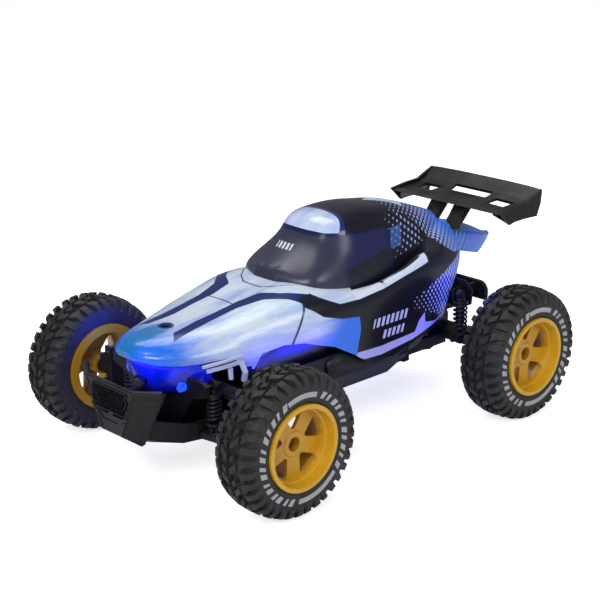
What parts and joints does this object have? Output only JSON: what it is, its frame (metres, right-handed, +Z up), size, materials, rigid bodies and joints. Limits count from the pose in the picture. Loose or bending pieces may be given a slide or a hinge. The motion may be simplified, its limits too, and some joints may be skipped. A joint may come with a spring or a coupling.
{
  "type": "radio control buggy",
  "caption": "Off-road radio control buggy with sprung front arms, steering linkage, swinging geared rear axle, cockpit body shell and rear wing",
  "frame": {"origin": "on the ground under the middle of the overall box; the tyres stand on z = 0", "axes": "+X is the car's left, the nose points to -Y, +Z is up"},
  "size_m": [0.2176, 0.345, 0.144],
  "materials": {
    "body_plastic": "glossy printed",
    "smoked_window": "glossy smoked",
    "roof_plastic": "glossy",
    "tail_plastic": "glossy",
    "chassis_plastic": "satin",
    "battery_wrap": "shrink wrap",
    "circuit_board": "solder mask",
    "screw_steel": "plated",
    "bumper_plastic": "satin",
    "wing_plastic": "fine grain",
    "lamp_lens": "lit lens",
    "servo_plastic": "satin",
    "gear_plastic": "moulded",
    "arm_plastic": "satin",
    "damper_plastic": "satin",
    "spring_steel": "black coated",
    "gearbox_plastic": "satin",
    "motor_steel": "drawn can",
    "pinion_brass": "machined",
    "switch_plastic": "moulded",
    "rim_plastic": "tinted moulded",
    "tyre_rubber": "rubber"
  },
  "bodies": {
    "chassis": {"body_shell": "body_plastic", "windscreen": "smoked_window", "roof_panel": "roof_plastic", "tail_fin": "tail_plastic", "chassis_tub": "chassis_plastic", "side_guards": "chassis_plastic", "battery_door": "chassis_plastic", "battery_pack": "battery_wrap", "circuit_board": "circuit_board", "body_screws": "screw_steel", "front_bulkhead": "chassis_plastic", "hinge_pins": "screw_steel", "front_shock_tower": "chassis_plastic", "front_bumper": "bumper_plastic", "rear_shock_tower": "chassis_plastic", "rear_wing": "wing_plastic", "led_lenses": "lamp_lens", "steering_servo": "servo_plastic"},
    "switch": {"power_switch": "switch_plastic"},
    "horn": {"servo_horn": "gear_plastic"},
    "rack": {"steering_rack": "arm_plastic"},
    "rear_swing": {"axle_housing": "gearbox_plastic", "gear_cover": "gearbox_plastic", "drive_motor": "motor_steel"},
    "rear_axle": {"axle_shaft": "screw_steel", "axle_gear": "gear_plastic", "wheel_nuts": "screw_steel", "rim_rear_left": "rim_plastic", "rim_rear_right": "rim_plastic", "tyre_rear_left": "tyre_rubber", "tyre_rear_right": "tyre_rubber"},
    "counter_gear": {"counter_gear": "gear_plastic"},
    "motor_pinion": {"motor_pinion": "pinion_brass"},
    "rear_damper_bodies": {"rear_dampers": "damper_plastic", "rear_springs": "spring_steel"},
    "rear_damper_rods": {"rear_damper_rods": "arm_plastic"},
    "lower_arm_left": {"lower_arm_left": "arm_plastic"},
    "upper_arm_left": {"upper_arm_left": "arm_plastic"},
    "carrier_left": {"carrier_left": "arm_plastic", "carrier_pins_left": "screw_steel"},
    "knuckle_left": {"knuckle_left": "arm_plastic", "axle_screw_left": "screw_steel"},
    "front_wheel_left": {"rim_front_left": "rim_plastic", "tyre_front_left": "tyre_rubber"},
    "front_damper_left": {"front_damper_left": "damper_plastic", "front_spring_left": "spring_steel"},
    "front_damper_rod_left": {"front_damper_rod_left": "arm_plastic"},
    "tie_rod_left": {"tie_rod_left": "arm_plastic"},
    "lower_arm_right": {"lower_arm_right": "arm_plastic"},
    "upper_arm_right": {"upper_arm_right": "arm_plastic"},
    "carrier_right": {"carrier_right": "arm_plastic", "carrier_pins_right": "screw_steel"},
    "knuckle_right": {"knuckle_right": "arm_plastic", "axle_screw_right": "screw_steel"},
    "front_wheel_right": {"rim_front_right": "rim_plastic", "tyre_front_right": "tyre_rubber"},
    "front_damper_right": {"front_damper_right": "damper_plastic", "front_spring_right": "spring_steel"},
    "front_damper_rod_right": {"front_damper_rod_right": "arm_plastic"},
    "tie_rod_right": {"tie_rod_right": "arm_plastic"}
  },
  "joints": [
    {"name": "power_switch_slide", "type": "slide", "parent": "chassis", "child": "switch", "axis": [1, 0, 0], "range_m": [0, 0.004]},
    {"name": "servo_turn", "type": "hinge", "parent": "chassis", "child": "horn", "pos_m": [0, -0.087, 0.0435], "axis": [0, 0, 1], "range_deg": [-16.8, 16.8]},
    {"name": "rack_slide", "type": "slide", "parent": "chassis", "child": "rack", "axis": [1, 0, 0], "range_m": [-0.0046, 0.0046]},
    {"name": "front_suspension_left", "type": "hinge", "parent": "chassis", "child": "lower_arm_left", "pos_m": [0.016, -0.1165, 0.032], "axis": [0, -1, 0], "range_deg": [0, 9], "stiffness_Nm_per_rad": 2.2, "springref_deg": -6.88},
    {"name": "upper_arm_hinge_left", "type": "hinge", "parent": "chassis", "child": "upper_arm_left", "pos_m": [0.016, -0.1165, 0.06], "axis": [0, -1, 0], "range_deg": [0, 10]},
    {"name": "carrier_hinge_left", "type": "hinge", "parent": "lower_arm_left", "child": "carrier_left", "pos_m": [0.066, -0.1165, 0.032], "axis": [0, -1, 0], "range_deg": [-10, 0.5]},
    {"name": "steering", "type": "hinge", "parent": "carrier_left", "child": "knuckle_left", "pos_m": [0.071, -0.1165, 0.045], "axis": [0, 0, 1], "range_deg": [-20, 20]},
    {"name": "front_wheel_spin_left", "type": "hinge", "parent": "knuckle_left", "child": "front_wheel_left", "pos_m": [0.0928, -0.1165, 0.045], "axis": [1, 0, 0], "continuous": true},
    {"name": "front_damper_hinge_left", "type": "hinge", "parent": "chassis", "child": "front_damper_left", "pos_m": [0.04, -0.1255, 0.067], "axis": [0, -1, 0], "range_deg": [-3.77, 0.5]},
    {"name": "front_damper_slide_left", "type": "slide", "parent": "front_damper_left", "child": "front_damper_rod_left", "axis": [0, 0, 1], "range_m": [-0.0002, 0.00393], "deforming": ["front_spring_left"]},
    {"name": "tie_rod_hinge_left", "type": "hinge", "parent": "rack", "child": "tie_rod_left", "pos_m": [0.021, -0.104, 0.04925], "axis": [0, -1, 0], "range_deg": [-0.5, 10]},
    {"name": "front_suspension_right", "type": "hinge", "parent": "chassis", "child": "lower_arm_right", "pos_m": [-0.016, -0.1165, 0.032], "axis": [0, 1, 0], "range_deg": [0, 9], "stiffness_Nm_per_rad": 2.2, "springref_deg": -6.88},
    {"name": "upper_arm_hinge_right", "type": "hinge", "parent": "chassis", "child": "upper_arm_right", "pos_m": [-0.016, -0.1165, 0.06], "axis": [0, 1, 0], "range_deg": [0, 10]},
    {"name": "carrier_hinge_right", "type": "hinge", "parent": "lower_arm_right", "child": "carrier_right", "pos_m": [-0.066, -0.1165, 0.032], "axis": [0, 1, 0], "range_deg": [-10, 0.5]},
    {"name": "kingpin_right", "type": "hinge", "parent": "carrier_right", "child": "knuckle_right", "pos_m": [-0.071, -0.1165, 0.045], "axis": [0, 0, 1], "range_deg": [-21, 21]},
    {"name": "front_wheel_spin_right", "type": "hinge", "parent": "knuckle_right", "child": "front_wheel_right", "pos_m": [-0.0928, -0.1165, 0.045], "axis": [1, 0, 0], "continuous": true},
    {"name": "front_damper_hinge_right", "type": "hinge", "parent": "chassis", "child": "front_damper_right", "pos_m": [-0.04, -0.1255, 0.067], "axis": [0, 1, 0], "range_deg": [-3.77, 0.5]},
    {"name": "front_damper_slide_right", "type": "slide", "parent": "front_damper_right", "child": "front_damper_rod_right", "axis": [0, 0, 1], "range_m": [-0.0002, 0.00393], "deforming": ["front_spring_right"]},
    {"name": "tie_rod_hinge_right", "type": "hinge", "parent": "rack", "child": "tie_rod_right", "pos_m": [-0.021, -0.104, 0.04925], "axis": [0, 1, 0], "range_deg": [-0.5, 10]},
    {"name": "rear_suspension", "type": "hinge", "parent": "chassis", "child": "rear_swing", "pos_m": [0, 0.046, 0.04], "axis": [1, 0, 0], "range_deg": [0, 7], "stiffness_Nm_per_rad": 5, "springref_deg": -6.88},
    {"name": "rear_axle_spin", "type": "hinge", "parent": "rear_swing", "child": "rear_axle", "pos_m": [0, 0.0955, 0.045], "axis": [1, 0, 0], "continuous": true},
    {"name": "counter_gear_spin", "type": "hinge", "parent": "rear_swing", "child": "counter_gear", "pos_m": [0.007, 0.07746, 0.05157], "axis": [1, 0, 0], "continuous": true},
    {"name": "motor_pinion_spin", "type": "hinge", "parent": "rear_swing", "child": "motor_pinion", "pos_m": [0.009, 0.06187, 0.04797], "axis": [1, 0, 0], "continuous": true},
    {"name": "rear_damper_hinge", "type": "hinge", "parent": "chassis", "child": "rear_damper_bodies", "pos_m": [0, 0.084, 0.078], "axis": [1, 0, 0], "range_deg": [-2.96, 0.5]},
    {"name": "rear_damper_slide", "type": "slide", "parent": "rear_damper_bodies", "child": "rear_damper_rods", "axis": [0, 0, 1], "range_m": [-0.0002, 0.00485], "deforming": ["rear_springs"]}
  ],
  "couplings": [
    {"joint": "servo_turn", "follows": "steering", "ratio": -0.8},
    {"joint": "rack_slide", "follows": "steering", "m_per_rad": -0.01224},
    {"joint": "upper_arm_hinge_left", "follows": "front_suspension_left", "ratio": 1},
    {"joint": "carrier_hinge_left", "follows": "front_suspension_left", "ratio": -1},
    {"joint": "front_damper_hinge_left", "follows": "front_suspension_left", "ratio": -0.36342},
    {"joint": "front_damper_slide_left", "follows": "front_suspension_left", "m_per_rad": 0.0231},
    {"joint": "tie_rod_hinge_left", "follows": "front_suspension_left", "ratio": 1},
    {"joint": "upper_arm_hinge_right", "follows": "front_suspension_right", "ratio": 1},
    {"joint": "carrier_hinge_right", "follows": "front_suspension_right", "ratio": -1},
    {"joint": "kingpin_right", "follows": "steering", "ratio": 1},
    {"joint": "front_damper_hinge_right", "follows": "front_suspension_right", "ratio": -0.36342},
    {"joint": "front_damper_slide_right", "follows": "front_suspension_right", "m_per_rad": 0.0231},
    {"joint": "tie_rod_hinge_right", "follows": "front_suspension_right", "ratio": 1},
    {"joint": "counter_gear_spin", "follows": "rear_axle_spin", "ratio": -3},
    {"joint": "motor_pinion_spin", "follows": "rear_axle_spin", "ratio": 9},
    {"joint": "rear_damper_hinge", "follows": "rear_suspension", "ratio": -0.35181},
    {"joint": "rear_damper_slide", "follows": "rear_suspension", "m_per_rad": 0.03728}
  ]
}
